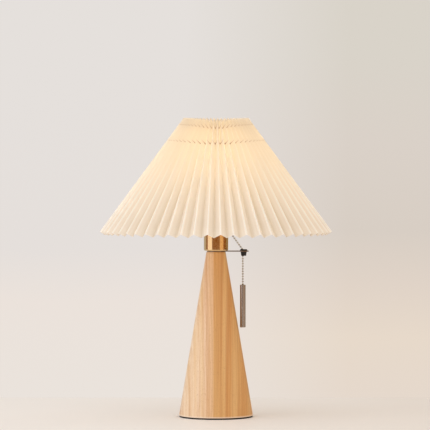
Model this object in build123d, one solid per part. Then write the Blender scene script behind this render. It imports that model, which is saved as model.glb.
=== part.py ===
from build123d import *
import os
from math import asin, atan2, cos, hypot, radians, sin, sqrt, tan

# Pleated table lamp. Millimetres, +Z up, the lamp's axis is Z and the table is Z = 0.
# The front is seen from -Y, and the pull chain hangs at +X.

# Foot and wooden body
pad_thickness = 1.5
pad_inset = 0.9
body_base_diameter = 115.0
body_top_diameter = 29.6
body_height = 254.7
body_edge_bevel = 0.8
rod_hole_diameter = 11.0
recess_diameter = 92.0
recess_depth = 18.0

# Iron weight in the recess, with a pocket for the nut and a groove for the lead
weight_thickness = 15.0
weight_side_clearance = 0.5
weight_web = 5.0
weight_pocket_diameter = 36.0
lead_groove_width = 10.0

# Hollow threaded rod with its nuts and washer
rod_diameter = 10.0
rod_bore_diameter = 8.0
rod_below_nut = 1.5
rod_in_switch = 9.0
thread_clearance = 0.03
nut_across_flats = 14.0
bottom_nut_height = 6.0
cup_nut_height = 4.0
washer_diameter = 28.0
washer_thickness = 1.5
washer_clearance = 0.3

# Bush for the mains lead, low at the back
bush_height_in_body = 9.0
bush_bore_diameter = 6.6
bush_diameter = 9.0
bush_flange_diameter = 12.0
bush_flange_thickness = 1.5
bush_clearance = 0.05
spot_face_margin = 0.4
spot_face_depth = 2.2

# Flat steel arm with an eye at each end, clamped under the cup
arm_thickness = 1.5
arm_width = 7.0
arm_root_diameter = 28.0
arm_tip_diameter = 15.6
guide_reach = 42.9

# Plastic chain guide, snapped into the arm's far eye
guide_flange_diameter = 11.0
guide_flange_height = 2.0
guide_neck_diameter = 8.0
guide_barb_diameter = 9.4
guide_tip_diameter = 7.6
guide_drop = 6.4
guide_barb_gap = 0.2
guide_bore_diameter = 5.9
guide_mouth_bevel = 1.2
guide_fit_clearance = 0.05

# Brass cup and the pull switch in it
cup_diameter = 37.8
cup_height = 55.3
cup_wall = 0.8
cup_corner_radius = 1.8
switch_clearance = 0.3
switch_nut_gap = 2.0

# Ball chain: its run from the switch leans by chain_lean_angle and bends down over the guide
bead_diameter = 2.9
bead_pitch = 3.95
bead_side_count = 8
bead_cap_angle = 43.0
link_diameter = 0.8
link_clearance = 0.1
chain_lean_angle = 36.0
chain_side_clearance = 0.1
bend_below_guide_top = 0.7
pull_bead_count = 2
upper_bead_count = 8
lower_bead_count = 12

# Outlet that the chain leaves the cup by, then the spring and the slider behind it
spout_diameter = 8.0
spout_bore_diameter = 4.0
spout_mouth_diameter = 9.2
spout_mouth_length = 1.5
spout_outside = 7.3
spout_inside = 4.1
channel_clearance = 0.05
slider_length = 4.0
slider_side_clearance = 0.1
draw_rod_diameter = 2.4
slider_distance = 57.3
spring_diameter = 7.4
spring_bore_diameter = 4.4
spring_end_gap = 0.3
slider_rest_gap = 0.7

# Pendant on the chain
pendant_diameter = 8.7
pendant_length = 66.1
pendant_edge_bevel = 0.4
pendant_socket_depth = 6.0
pendant_socket_clearance = 0.15
pendant_bead_depth = 3.0

# Lamp holder above the cup
holder_diameter = 39.2
holder_height = 33.0
holder_bore_diameter = 28.2
insert_thickness = 5.0
insert_clearance = 0.1
screw_shell_diameter = 27.9
screw_shell_wall = 0.45
screw_shell_height = 26.0
contact_length = 13.0
contact_width = 4.0
contact_thickness = 0.5
contact_button_diameter = 5.0
contact_button_height = 1.9

# Bulb, with its cap screwed into the holder
bulb_contact_gap = 0.2
bulb_tip_diameter = 9.0
bulb_insulator_diameter = 20.0
bulb_tip_height = 2.0
bulb_insulator_height = 6.4
bulb_cap_diameter = 26.2
bulb_cap_height = 20.5
bulb_housing_height = 18.5
bulb_housing_top_diameter = 42.0
bulb_globe_diameter = 45.0
bulb_globe_height = 31.0
bulb_neck_diameter = 27.5
bulb_collar_height = 2.0
globe_band_count = 4

# Two threaded rings that clamp the shade's fitter ring on the holder
shade_ring_diameter = 54.0
shade_ring_height = 6.0
shade_ring_clearance = 0.25
shade_ring_grip_count = 48
lower_ring_height_on_holder = 10.0
fitter_ring_diameter = 59.0
fitter_ring_thickness = 1.5
fitter_ring_clearance = 0.5

# Pleated skirt: panels of one width, fanned on a cone. Its outer folds end on these two circles
pleat_count = 56
hem_diameter = 360.0
hem_height = 287.8
top_diameter = 100.8
top_height = 463.7
panel_width = 13.4
cloth_thickness = 0.4
skirt_row_count = 2

# Threads through all panels, each by its distance from the top edge and from the outer folds
upper_thread_from_top = 12.5
upper_thread_depth = 10.4
lower_thread_from_top = 42.4
lower_thread_depth = 9.1
thread_size = 0.8

# Wire frame inside the folds
rib_count = 8
rib_diameter = 2.5
rib_cloth_gap = 0.3
rib_end_from_hem = 13.0
rib_end_from_top = 3.0
ring_wire = 3.0
weld_gap = 0.05
bottom_ring_from_hem = 16.0
top_ring_from_top = 5.0
arm_wire = 3.0
fitter_arm_count = 3
fitter_arm_reach = 41.0
fitter_arm_bend = 4.0
fitter_arm_first_angle = 90.0

# Heights that follow from the pieces as they are stacked
body_bottom = pad_thickness
body_top = body_bottom + body_height
recess_top = body_bottom + recess_depth
weight_bottom = recess_top - weight_thickness
pocket_top = recess_top - weight_web
bottom_nut_top = pocket_top - washer_thickness
rod_bottom = bottom_nut_top - bottom_nut_height - rod_below_nut
arm_top = body_top + arm_thickness
cup_floor = arm_top + cup_wall
cup_nut_top = cup_floor + cup_nut_height
switch_bottom = cup_nut_top + switch_nut_gap
rod_top = switch_bottom + rod_in_switch
cup_top = arm_top + cup_height
holder_top = cup_top + holder_height
insert_top = cup_top + insert_thickness
guide_top = arm_top + guide_flange_height
guide_bottom = body_top - guide_drop
lower_ring_bottom = cup_top + lower_ring_height_on_holder
fitter_bottom = lower_ring_bottom + shade_ring_height
fitter_top = fitter_bottom + fitter_ring_thickness
bulb_bottom = insert_top + contact_thickness + contact_button_height + bulb_contact_gap
bulb_cap_bottom = bulb_bottom + bulb_insulator_height
bulb_cap_top = bulb_cap_bottom + bulb_cap_height
bulb_housing_top = bulb_cap_top + bulb_housing_height

# The chain's line: it hangs against the near side of the guide's bore and leans back above the bend
chain_x = guide_reach - guide_bore_diameter / 2 + bead_diameter / 2 + chain_side_clearance
bend_z = guide_top - bend_below_guide_top
chain_up = Vector(-sin(radians(chain_lean_angle)), 0, cos(radians(chain_lean_angle)))
chain_bend_point = Vector(chain_x, 0, bend_z)
cup_wall_on_chain = (chain_x - cup_diameter / 2) / sin(radians(chain_lean_angle))
spout_start = cup_wall_on_chain - spout_outside
spout_end = cup_wall_on_chain + spout_inside
draw_rod_start = (pull_bead_count + upper_bead_count - 0.5) * bead_pitch + bead_diameter / 2
slider_start = slider_distance - slider_length / 2
slider_end = slider_distance + slider_length / 2
channel_end = slider_end + slider_rest_gap

# The cone of the outer folds, and the distances square to it
cone_angle = atan2((hem_diameter - top_diameter) / 2, top_height - hem_height)
half_pleat = radians(180 / pleat_count)


def turned(*points):
    """A solid turned about Z from (radius, height) corners."""
    outline = Polyline(*points, close=True)
    return revolve(Plane.XZ * make_face(outline), Axis.Z)


def disc(diameter, bottom, top, bore=0.0):
    """A flat ring or disc about Z."""
    return turned((bore / 2, bottom), (diameter / 2, bottom), (diameter / 2, top), (bore / 2, top))


def hexagon_nut(bottom, height):
    """A hexagon nut on the threaded rod."""
    blank = extrude(RegularPolygon(nut_across_flats / 2, 6, major_radius=False), height)
    bore = Cylinder(rod_diameter / 2 + thread_clearance, 3 * height)
    return Pos(0, 0, bottom) * (blank - bore)


def on_chain(distance):
    """The point of the leaning chain at a distance above its bend."""
    return chain_bend_point + chain_up * distance


def along_chain(distance):
    """A place on the leaning chain, with its own Z along the chain."""
    return Plane(on_chain(distance), x_dir=(0, 1, 0), z_dir=chain_up).location


def body_radius(height):
    """Radius of the wooden cone at a height."""
    share = (height - body_bottom) / body_height
    return (body_base_diameter + (body_top_diameter - body_base_diameter) * share) / 2


def base_pad():
    return disc(body_base_diameter - 2 * pad_inset, 0, pad_thickness)


def base_weight():
    radius = recess_diameter / 2 - weight_side_clearance
    weight = disc(2 * radius, weight_bottom, recess_top, rod_hole_diameter)
    pocket = disc(weight_pocket_diameter, weight_bottom, pocket_top)
    groove_height = pocket_top - weight_bottom
    groove = Pos(0, radius / 2, weight_bottom + groove_height / 2) * Box(
        lead_groove_width, radius, groove_height
    )
    return weight - pocket - groove


def wood_cone():
    bevel = body_edge_bevel
    low, high = body_bottom, body_top
    cone = turned(
        (0, low),
        (body_base_diameter / 2 - bevel, low),
        (body_radius(low + bevel), low + bevel),
        (body_radius(high - bevel), high - bevel),
        (body_top_diameter / 2 - bevel, high),
        (0, high),
    )
    recess = disc(recess_diameter, low, recess_top)
    rod_hole = disc(rod_hole_diameter, low, high)
    return cone - recess - rod_hole - bush_hole()


# The bush sits in a hole drilled level through the wood, with a flat sunk for its flange
bush_z = body_bottom + bush_height_in_body
bush_seat = body_radius(bush_z) - spot_face_depth
bush_length = bush_seat - recess_diameter / 2


def facing_back(distance):
    """A place on the bush's axis, with its own Z pointing out of the back."""
    return Plane((0, distance, bush_z), x_dir=(1, 0, 0), z_dir=(0, 1, 0)).location


def bush_hole():
    hole = Cylinder(bush_diameter / 2 + bush_clearance, recess_diameter)
    flat = Cylinder(bush_flange_diameter / 2 + spot_face_margin, recess_diameter)
    hole_middle = facing_back(recess_diameter)
    flat_middle = facing_back(bush_seat + recess_diameter / 2)
    return hole_middle * hole + flat_middle * flat


def cord_bush():
    bore = bush_bore_diameter / 2
    bush = turned(
        (bore, -bush_length),
        (bush_diameter / 2, -bush_length),
        (bush_diameter / 2, 0),
        (bush_flange_diameter / 2, 0),
        (bush_flange_diameter / 2, bush_flange_thickness),
        (bore, bush_flange_thickness),
    )
    return facing_back(bush_seat) * bush


def threaded_rod():
    return disc(rod_diameter, rod_bottom, rod_top, rod_bore_diameter)


def bottom_washer():
    bore = rod_diameter + 2 * washer_clearance
    return disc(washer_diameter, bottom_nut_top, pocket_top, bore)


def guide_arm():
    strip = Pos(guide_reach / 2, 0) * Rectangle(guide_reach, arm_width)
    root_eye = Circle(arm_root_diameter / 2)
    tip_eye = Pos(guide_reach, 0) * Circle(arm_tip_diameter / 2)
    rod_hole = Circle(rod_diameter / 2 + washer_clearance)
    guide_hole = Pos(guide_reach, 0) * Circle(guide_neck_diameter / 2 + guide_fit_clearance)
    outline = root_eye + strip + tip_eye - rod_hole - guide_hole
    return Pos(0, 0, body_top) * extrude(outline, arm_thickness)


def chain_guide():
    bore = guide_bore_diameter / 2
    guide = turned(
        (bore, guide_bottom),
        (guide_tip_diameter / 2, guide_bottom),
        (guide_barb_diameter / 2, body_top - guide_barb_gap),
        (guide_neck_diameter / 2, body_top - guide_barb_gap),
        (guide_neck_diameter / 2, arm_top),
        (guide_flange_diameter / 2, arm_top),
        (guide_flange_diameter / 2, guide_top),
        (bore + guide_mouth_bevel, guide_top),
        (bore, guide_top - guide_mouth_bevel),
    )
    return Pos(guide_reach, 0, 0) * guide


def holder_cup():
    """The spun cup. Its lower corner is rounded, drawn as two bevels."""
    bore = rod_diameter / 2 + washer_clearance
    outer = cup_diameter / 2
    corner = cup_corner_radius
    halfway = corner * (1 - cos(radians(45)))
    cup = turned(
        (bore, arm_top),
        (outer - corner, arm_top),
        (outer - halfway, arm_top + halfway),
        (outer, arm_top + corner),
        (outer, cup_top),
        (outer - cup_wall, cup_top),
        (outer - cup_wall, cup_floor),
        (bore, cup_floor),
    )
    hole = along_chain(spout_start) * Cylinder(
        spout_diameter / 2 + channel_clearance,
        spout_end - spout_start + 2 * spout_inside,
        align=(Align.CENTER, Align.CENTER, Align.MIN),
    )
    return cup - hole


def switch_body():
    radius = cup_diameter / 2 - cup_wall - switch_clearance
    body = disc(2 * radius, switch_bottom, cup_top)
    rod_socket = disc(rod_diameter + 2 * thread_clearance, switch_bottom, rod_top)
    channel = along_chain(0) * Cylinder(
        spout_diameter / 2 + channel_clearance,
        channel_end,
        align=(Align.CENTER, Align.CENTER, Align.MIN),
    )
    return body - rod_socket - channel


def chain_spout():
    bore = spout_bore_diameter / 2
    mouth = spout_mouth_diameter / 2
    flare = mouth - spout_diameter / 2
    spout = turned(
        (bore + flare, 0),
        (mouth, 0),
        (mouth, spout_mouth_length / 2),
        (spout_diameter / 2, spout_mouth_length),
        (spout_diameter / 2, spout_end - spout_start),
        (bore, spout_end - spout_start),
        (bore, spout_mouth_length),
    )
    return along_chain(spout_start) * spout


def return_spring():
    start = spout_end + spring_end_gap
    length = slider_start - spring_end_gap - start
    return along_chain(start) * disc(spring_diameter, 0, length, spring_bore_diameter)


def pull_slider():
    """The switch's slider, with the draw rod that ends in the chain's last bead."""
    diameter = spout_diameter + 2 * channel_clearance - 2 * slider_side_clearance
    rod_length = slider_start - draw_rod_start
    slider = disc(diameter, rod_length, rod_length + slider_length)
    return along_chain(draw_rod_start) * (slider + disc(draw_rod_diameter, 0, rod_length))


def bead():
    """One rolled bead of the chain, about its own centre: a ball drawn with flats."""
    radius = bead_diameter / 2
    flat_angle = radians(180 / bead_side_count)
    waist = radius * sin(flat_angle)
    pole = radius * cos(flat_angle)
    flats = RegularPolygon(radius, bead_side_count)
    band = Pos(0, 0, -waist) * extrude(flats, 2 * waist)
    cap = Pos(0, 0, waist) * extrude(flats, pole - waist, taper=bead_cap_angle)
    return band + cap + Rot(180, 0, 0) * cap


# A link ends just clear of the next run's bead, as far out as that bead's own radius
link_reach = bead_pitch - bead_diameter / 2 - link_clearance


def chain_run(count, below=0.0, above=0.0):
    """Beads along Z from the origin up, joined by links that may reach past both ends."""
    length = (count - 1) * bead_pitch
    beads = [Pos(0, 0, k * bead_pitch) * bead() for k in range(count)]
    link = extrude(RegularPolygon(link_diameter / 2, 4), below + length + above)
    return Pos(0, 0, -below) * link + beads


def chain_upper():
    """The leaning run that the switch pulls on. It reaches the bend at full pull."""
    return along_chain((pull_bead_count + 0.5) * bead_pitch) * chain_run(upper_bead_count, below=link_reach)


def chain_bend():
    """The beads that lean over the guide and turn down there when the chain is pulled."""
    return along_chain(0.5 * bead_pitch) * chain_run(pull_bead_count)


def hanging(first):
    """A place on the hanging chain, at a bead counted down from the bend."""
    return Pos(chain_x, 0, bend_z - (first + 0.5) * bead_pitch)


def chain_lead():
    return hanging(pull_bead_count - 1) * chain_run(pull_bead_count, below=link_reach)


def guide_bead():
    """The bead at the guide's mouth, on which the chain below it swings."""
    return hanging(pull_bead_count) * bead()


def chain_lower():
    return hanging(pull_bead_count + lower_bead_count) * chain_run(lower_bead_count, above=link_reach)


# The pendant holds the chain's last bead in a socket in its top
pendant_top = bend_z - (pull_bead_count + lower_bead_count + 0.5) * bead_pitch + pendant_bead_depth


def pendant_bar():
    radius, bevel = pendant_diameter / 2, pendant_edge_bevel
    low, high = pendant_top - pendant_length, pendant_top
    socket = bead_diameter / 2 + pendant_socket_clearance
    bar = turned(
        (0, low),
        (radius - bevel, low),
        (radius, low + bevel),
        (radius, high - bevel),
        (radius - bevel, high),
        (socket, high),
        (socket, high - pendant_socket_depth),
        (0, high - pendant_socket_depth),
    )
    return Pos(chain_x, 0, 0) * bar


def holder_shell():
    return disc(holder_diameter, cup_top, holder_top, holder_bore_diameter)


def socket_insert():
    return disc(holder_bore_diameter - 2 * insert_clearance, cup_top, insert_top)


def screw_shell():
    bore = screw_shell_diameter - 2 * screw_shell_wall
    return disc(screw_shell_diameter, insert_top, insert_top + screw_shell_height, bore)


def centre_contact():
    tongue = Box(
        contact_length,
        contact_width,
        contact_thickness,
        align=(Align.CENTER, Align.CENTER, Align.MIN),
    )
    button = Pos(0, 0, contact_thickness) * Cylinder(
        contact_button_diameter / 2,
        contact_button_height,
        align=(Align.CENTER, Align.CENTER, Align.MIN),
    )
    return Pos(0, 0, insert_top) * (tongue + button)


def bulb_contact():
    tip = bulb_tip_diameter / 2
    base = bulb_insulator_diameter / 2
    step = bulb_bottom + bulb_tip_height
    return turned(
        (0, bulb_bottom),
        (tip, bulb_bottom),
        (tip, step),
        (base, step),
        (base, bulb_cap_bottom),
        (0, bulb_cap_bottom),
    )


def bulb_cap():
    return disc(bulb_cap_diameter, bulb_cap_bottom, bulb_cap_top)


def turned_flats(*points):
    """A closed solid about Z from (radius, height) levels, drawn with flats and flat ends."""
    loops = [loop_of_points(radius, height) for radius, height in points]
    ends = [Face(Wire.make_polygon(loop, close=True)) for loop in (loops[0], loops[-1])]
    flank = [face for low, high in zip(loops, loops[1:]) for face in strip(low, high)]
    return Solid(Shell(ends + flank))


def bulb_housing():
    neck, top = bulb_neck_diameter / 2, bulb_housing_top_diameter / 2
    collar_top = bulb_cap_top + bulb_collar_height
    return turned_flats((neck, bulb_cap_top), (neck, collar_top), (top, bulb_housing_top))


def bulb_globe():
    """The dome, in bands between points of an ellipse that is widest a little above the housing."""
    widest, start = bulb_globe_diameter / 2, bulb_housing_top_diameter / 2
    lead = asin(sqrt(1 - (start / widest) ** 2))
    rise = bulb_globe_height / (1 + sin(lead))
    middle = bulb_housing_top + rise * sin(lead)
    step = (radians(90) + lead) / (globe_band_count + 0.5)
    angles = [-lead + step * k for k in range(globe_band_count + 1)]
    flank = [(widest * cos(a), middle + rise * sin(a)) for a in angles]
    return turned_flats(*flank)


def shade_ring(bottom):
    """A ring with grip flats round it. Its thread is a plain bore."""
    grips = RegularPolygon(shade_ring_diameter / 2, shade_ring_grip_count)
    bore = Circle(holder_diameter / 2 + shade_ring_clearance)
    return Pos(0, 0, bottom) * extrude(grips - bore, shade_ring_height)


def fitter_ring():
    bore = holder_diameter + 2 * fitter_ring_clearance
    return disc(fitter_ring_diameter, fitter_bottom, fitter_top, bore)


def fold_depth(radius):
    """Depth of the folds, square to the cone, that a panel of the set width has at a radius.

    The width joins an outer fold at this radius to an inner fold half a pleat round from it.
    """
    bow = 1 - cos(half_pleat)
    lean = radius * cos(cone_angle) * bow
    return lean + sqrt(lean**2 + panel_width**2 - 2 * radius**2 * bow)


def inward(point, distance):
    """A (radius, height) point moved into the cone, square to the outer folds."""
    radius, height = point
    return (radius - distance * cos(cone_angle), height - distance * sin(cone_angle))


def cloth_shift(inner_radius):
    """How far the cloth's back lies from its face, measured square to the cone."""
    slope = inner_radius * sin(half_pleat) / panel_width
    return cloth_thickness / slope


outer_hem = (hem_diameter / 2, hem_height)
outer_top = (top_diameter / 2, top_height)
inner_hem = inward(outer_hem, fold_depth(outer_hem[0]))
inner_top = inward(outer_top, fold_depth(outer_top[0]))
back_hem = inward(inner_hem, cloth_shift(inner_hem[0]))
back_top = inward(inner_top, cloth_shift(inner_top[0]))


def cloth_loops():
    """Closed zigzags of fold points, from the hem up the cloth's face and down its back.

    An inner fold lies at the front of the lamp, and the rows share the slant evenly.
    """
    face, back = [], []
    for row in range(skirt_row_count + 1):
        radius = outer_hem[0] + (outer_top[0] - outer_hem[0]) * row / skirt_row_count
        height = hem_height + (outer_hem[0] - radius) / tan(cone_angle)
        outer = (radius, height)
        inner = inward(outer, fold_depth(radius))
        shift = cloth_shift(inner[0])
        face.append(zigzag(outer, inner))
        back.append(zigzag(inward(outer, shift), inward(inner, shift)))
    return face, back


def zigzag(outer, inner):
    """One closed zigzag between an outer and an inner (radius, height), fold by fold."""
    points = []
    for fold in range(2 * pleat_count):
        radius, height = outer if fold % 2 else inner
        turn = fold * half_pleat - radians(90)
        points.append(Vector(radius * cos(turn), radius * sin(turn), height))
    return points


def strip(first, second):
    """Flat three-cornered faces between two zigzags, mirrored from one fold to the next."""
    faces = []
    count = len(first)
    for k in range(count):
        a, b = first[k], first[(k + 1) % count]
        c, d = second[(k + 1) % count], second[k]
        corners = ((a, b, c), (a, c, d)) if k % 2 else ((a, b, d), (b, c, d))
        faces += [Face(Wire.make_polygon(three, close=True)) for three in corners]
    return faces


def shade_skirt():
    face, back = cloth_loops()
    faces = strip(face[0], back[0]) + strip(face[-1], back[-1])
    for side in (face, back):
        for k in range(skirt_row_count):
            faces += strip(side[k], side[k + 1])
    return Solid(Shell(faces))


def gather_thread(from_top, depth):
    """A thread drawn through every panel, from_top down the folds and depth in from them."""
    radius = outer_top[0] + from_top * sin(cone_angle)
    height = outer_top[1] - from_top * cos(cone_angle)
    radius, height = inward((radius, height), depth)
    loop = RegularPolygon(radius + thread_size / 2, pleat_count)
    inside = RegularPolygon(radius - thread_size / 2, pleat_count)
    return Pos(0, 0, height - thread_size / 2) * extrude(loop - inside, thread_size)


# The ribs lie along the backs of the inner folds
rib_angle = atan2(back_hem[0] - back_top[0], back_top[1] - back_hem[1])


def behind_folds(from_hem, distance):
    """A (radius, height) point at a distance behind the inner folds' backs, from_hem up them."""
    radius = back_hem[0] - from_hem * sin(rib_angle) - distance * cos(rib_angle)
    height = back_hem[1] + from_hem * cos(rib_angle) - distance * sin(rib_angle)
    return (radius, height)


rib_depth = rib_cloth_gap + rib_diameter / 2
ring_depth = rib_cloth_gap + rib_diameter + weld_gap + ring_wire / 2
back_slant = hypot(back_hem[0] - back_top[0], back_top[1] - back_hem[1])
top_ring_place = behind_folds(back_slant - top_ring_from_top, ring_depth)
bottom_ring_place = behind_folds(bottom_ring_from_hem, ring_depth)


def wire_section(diameter):
    """The frame's wire, drawn with six flats round it."""
    return RegularPolygon(diameter / 2, 6)


def frame_ribs():
    low = behind_folds(rib_end_from_hem, rib_depth)
    high = behind_folds(back_slant - rib_end_from_top, rib_depth)
    start, end = Vector(low[0], 0, low[1]), Vector(high[0], 0, high[1])
    place = Plane(start, z_dir=end - start).location
    rib = place * extrude(wire_section(rib_diameter), (end - start).length)
    return [Rot(0, 0, k * 360 / rib_count - 90) * rib for k in range(rib_count)]


def wire_ring(place):
    """A wire bent round the lamp, drawn with a flat for each pleat and six flats round it."""
    loops = []
    for corner in range(6):
        turn = radians(60 * corner)
        radius = place[0] + ring_wire / 2 * cos(turn)
        height = place[1] + ring_wire / 2 * sin(turn)
        loops.append(loop_of_points(radius, height))
    faces = []
    for k in range(6):
        faces += strip(loops[k - 1], loops[k])
    return Solid(Shell(faces))


def loop_of_points(radius, height):
    """Points round the lamp at one radius and height, one at each inner fold."""
    turns = [2 * k * half_pleat - radians(90) for k in range(pleat_count)]
    return [Vector(radius * cos(turn), radius * sin(turn), height) for turn in turns]


def fitter_arms():
    """Bent wires from the fitter ring's rim up to the top ring, clear of the bulb."""
    wire = arm_wire / 2
    level = fitter_top + weld_gap + wire
    start = (shade_ring_diameter / 2 + weld_gap + arm_wire / 4, level)
    bend_start = (fitter_arm_reach - fitter_arm_bend, level)
    bend_end = (fitter_arm_reach, level + fitter_arm_bend)
    end = (top_ring_place[0], top_ring_place[1] - ring_wire / 2 - weld_gap)
    path = Plane.XZ * Polyline(start, bend_start, bend_end, end)
    section = Plane(path @ 0, z_dir=path % 0) * wire_section(arm_wire)
    arm = sweep(section, path=path, transition=Transition.RIGHT)
    return [
        Rot(0, 0, fitter_arm_first_angle + k * 360 / fitter_arm_count) * arm
        for k in range(fitter_arm_count)
    ]


def write(name, shape):
    """One STEP file for one node, from one solid or a group of like ones."""
    pieces = shape if isinstance(shape, list) else [shape]
    solids = [solid for piece in pieces for solid in piece.solids()]
    export_step(Compound(label=name, children=solids), f"parts/{name}.step")


os.makedirs("parts", exist_ok=True)

write("base_pad", base_pad())
write("base_weight", base_weight())
write("wood_cone", wood_cone())
write("cord_bush", cord_bush())
write("threaded_rod", threaded_rod())
write("bottom_washer", bottom_washer())
write("bottom_nut", hexagon_nut(bottom_nut_top - bottom_nut_height, bottom_nut_height))
write("guide_arm", guide_arm())
write("chain_guide", chain_guide())
write("holder_cup", holder_cup())
write("cup_nut", hexagon_nut(cup_floor, cup_nut_height))
write("switch_body", switch_body())
write("chain_spout", chain_spout())
write("return_spring", return_spring())
write("pull_slider", pull_slider())
write("chain_upper", chain_upper())
write("chain_bend", chain_bend())
write("chain_lead", chain_lead())
write("guide_bead", guide_bead())
write("chain_lower", chain_lower())
write("pendant_bar", pendant_bar())
write("holder_shell", holder_shell())
write("socket_insert", socket_insert())
write("screw_shell", screw_shell())
write("centre_contact", centre_contact())
write("bulb_contact", bulb_contact())
write("bulb_cap", bulb_cap())
write("bulb_housing", bulb_housing())
write("bulb_globe", bulb_globe())
write("lower_shade_ring", shade_ring(lower_ring_bottom))
write("upper_shade_ring", shade_ring(fitter_top))
write("fitter_ring", fitter_ring())
write("fitter_arms", fitter_arms())
write("top_ring", wire_ring(top_ring_place))
write("frame_ribs", frame_ribs())
write("bottom_ring", wire_ring(bottom_ring_place))
write("shade_skirt", shade_skirt())
write("upper_thread", gather_thread(upper_thread_from_top, upper_thread_depth))
write("lower_thread", gather_thread(lower_thread_from_top, lower_thread_depth))
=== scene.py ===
import math

import bmesh
import bpy
import numpy as np
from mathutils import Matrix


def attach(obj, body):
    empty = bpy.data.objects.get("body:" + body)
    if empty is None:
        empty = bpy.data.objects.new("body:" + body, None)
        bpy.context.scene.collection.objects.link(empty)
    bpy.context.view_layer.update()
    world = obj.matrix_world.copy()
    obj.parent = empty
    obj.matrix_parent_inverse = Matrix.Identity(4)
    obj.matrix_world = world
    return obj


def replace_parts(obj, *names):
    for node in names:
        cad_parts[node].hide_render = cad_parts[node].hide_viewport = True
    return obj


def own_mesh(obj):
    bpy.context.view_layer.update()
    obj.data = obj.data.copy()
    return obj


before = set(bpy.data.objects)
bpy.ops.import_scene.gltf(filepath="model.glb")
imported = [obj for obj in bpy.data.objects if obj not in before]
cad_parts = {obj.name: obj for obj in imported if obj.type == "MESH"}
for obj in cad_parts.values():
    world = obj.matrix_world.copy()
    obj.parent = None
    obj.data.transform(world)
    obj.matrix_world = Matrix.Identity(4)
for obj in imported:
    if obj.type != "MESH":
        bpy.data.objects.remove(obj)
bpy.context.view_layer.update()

# View
# The photograph was taken from about 4.6 m with a long lens, a little above the shade's middle,
# and turned down so little that upright lines stay upright.

VIEW_DISTANCE = 4.57
VIEW_HEIGHT = 0.426
VIEW_ASIDE = -0.00155
VIEW_LENS = 246.98
VIEW_TILT = 1.418

camera_data = bpy.data.cameras.new("camera")
camera_data.lens = VIEW_LENS
camera_data.sensor_width = 36.0
camera_data.clip_end = 100.0
camera = bpy.data.objects.new("camera", camera_data)
camera.location = (VIEW_ASIDE, -VIEW_DISTANCE, VIEW_HEIGHT)
camera.rotation_euler = (math.radians(90 - VIEW_TILT), 0, 0)
bpy.context.scene.collection.objects.link(camera)
bpy.context.scene.camera = camera
bpy.context.scene.view_settings.view_transform = "Standard"


# Studio
# A pale table that ends a little behind the lamp, a plain warm wall far behind it, a large soft light
# at the left, a weaker warm one at the right and an even one above.

TABLE_SIDE = 4.0
TABLE_BACK = 0.34
FOOT_EDGE = (0.058, 0.068)
TINT = {"out": 2, "data_type": "RGBA"}


def linear(code):
    """A colour as the shaders want it, from its sRGB hex code."""
    parts = np.array([int(code[k:k + 2], 16) / 255 for k in (1, 3, 5)])
    curve = np.where(parts > 0.04045, ((parts + 0.055) / 1.055) ** 2.4, parts / 12.92)
    return (*curve, 1.0)


def add(tree, kind, sockets=None, out=0, **settings):
    """One node, of which the named output is returned. Settings are the node's own choices, and a socket
    takes a value, a hex code or another node's output. TINT makes a Mix node mix colours."""
    node = tree.nodes.new("ShaderNode" + kind)
    for name, value in settings.items():
        setattr(node, name, value)
    for name, value in (sockets or {}).items():
        if isinstance(value, bpy.types.NodeSocket):
            tree.links.new(value, node.inputs[name])
        else:
            node.inputs[name].default_value = linear(value) if isinstance(value, str) else value
    return node.outputs[out] if node.outputs else None


def new_finish(name, **sockets):
    """An empty material and its tree, with the plain values of its surface shader set."""
    material = bpy.data.materials.new(name)
    material.use_nodes = True
    tree = material.node_tree
    tree.nodes.clear()
    plain = {key.replace("_", " "): value for key, value in sockets.items()}
    surface = add(tree, "BsdfPrincipled", plain)
    add(tree, "OutputMaterial", {"Surface": surface})
    return material, tree, surface.node


def soft_light(name, place, aim, width, height, watts, colour):
    """A flat studio light at a place, turned to face a point."""
    data = bpy.data.lights.new(name, "AREA")
    data.shape = "RECTANGLE"
    data.size, data.size_y = width, height
    data.energy = watts
    data.color = linear(colour)[:3]
    light = bpy.data.objects.new(name, data)
    toward = np.array(aim) - np.array(place)
    yaw = math.atan2(toward[1], toward[0]) - math.pi / 2
    pitch = math.atan2(toward[2], math.hypot(toward[0], toward[1])) + math.pi / 2
    light.location = place
    light.rotation_euler = (pitch, 0, yaw)
    bpy.context.scene.collection.objects.link(light)


def graded(tree, value, stops):
    """A colour that runs through hex codes at their places between 0 and 1."""
    colour = add(tree, "ValToRGB", {0: value})
    ramp = colour.node.color_ramp.elements
    while len(ramp) < len(stops):
        ramp.new(0.5)
    for element, (place, code) in zip(ramp, stops):
        element.position = place
        element.color = linear(code)
    return colour


soft_light("left_light", (-1.80, -1.0, 0.95), (0, 0, 0.3),
           width=2.0, height=2.1, watts=15.6, colour="#EAF1FF")
soft_light("right_light", (1.45, -1.0, 0.7), (0, 0, 0.25),
           width=1.3, height=1.3, watts=3.3, colour="#FFDEB2")
soft_light("top_light", (-0.2, -0.5, 2.4), (0, 0, 0),
           width=2.2, height=2.2, watts=9.0, colour="#FFFFFF")

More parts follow.
